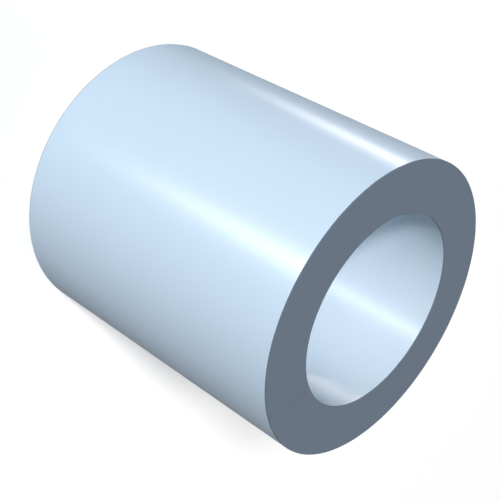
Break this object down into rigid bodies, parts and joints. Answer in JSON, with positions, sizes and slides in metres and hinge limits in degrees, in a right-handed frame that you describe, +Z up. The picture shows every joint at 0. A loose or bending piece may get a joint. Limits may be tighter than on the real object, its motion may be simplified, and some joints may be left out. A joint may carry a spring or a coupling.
{
  "type": "spacer sleeve",
  "caption": "Plain thick-walled round sleeve with square ends, slipped over a screw to hold two clamped parts a set distance apart.",
  "frame": {"origin": "centre of the bore at the lower end face, on which the sleeve stands", "axes": "+Z up along the bore's axis; X and Y are alike, because the sleeve is the same all round"},
  "size_m": [0.016, 0.016, 0.0175],
  "materials": {
    "plated_steel": "turned steel, bright zinc plated with a pale blue passivation; barrel satin, bore a little duller, end faces a dark slate from facing"
  },
  "bodies": {
    "root": {"sleeve": "plated_steel"}
  },
  "joints": []
}
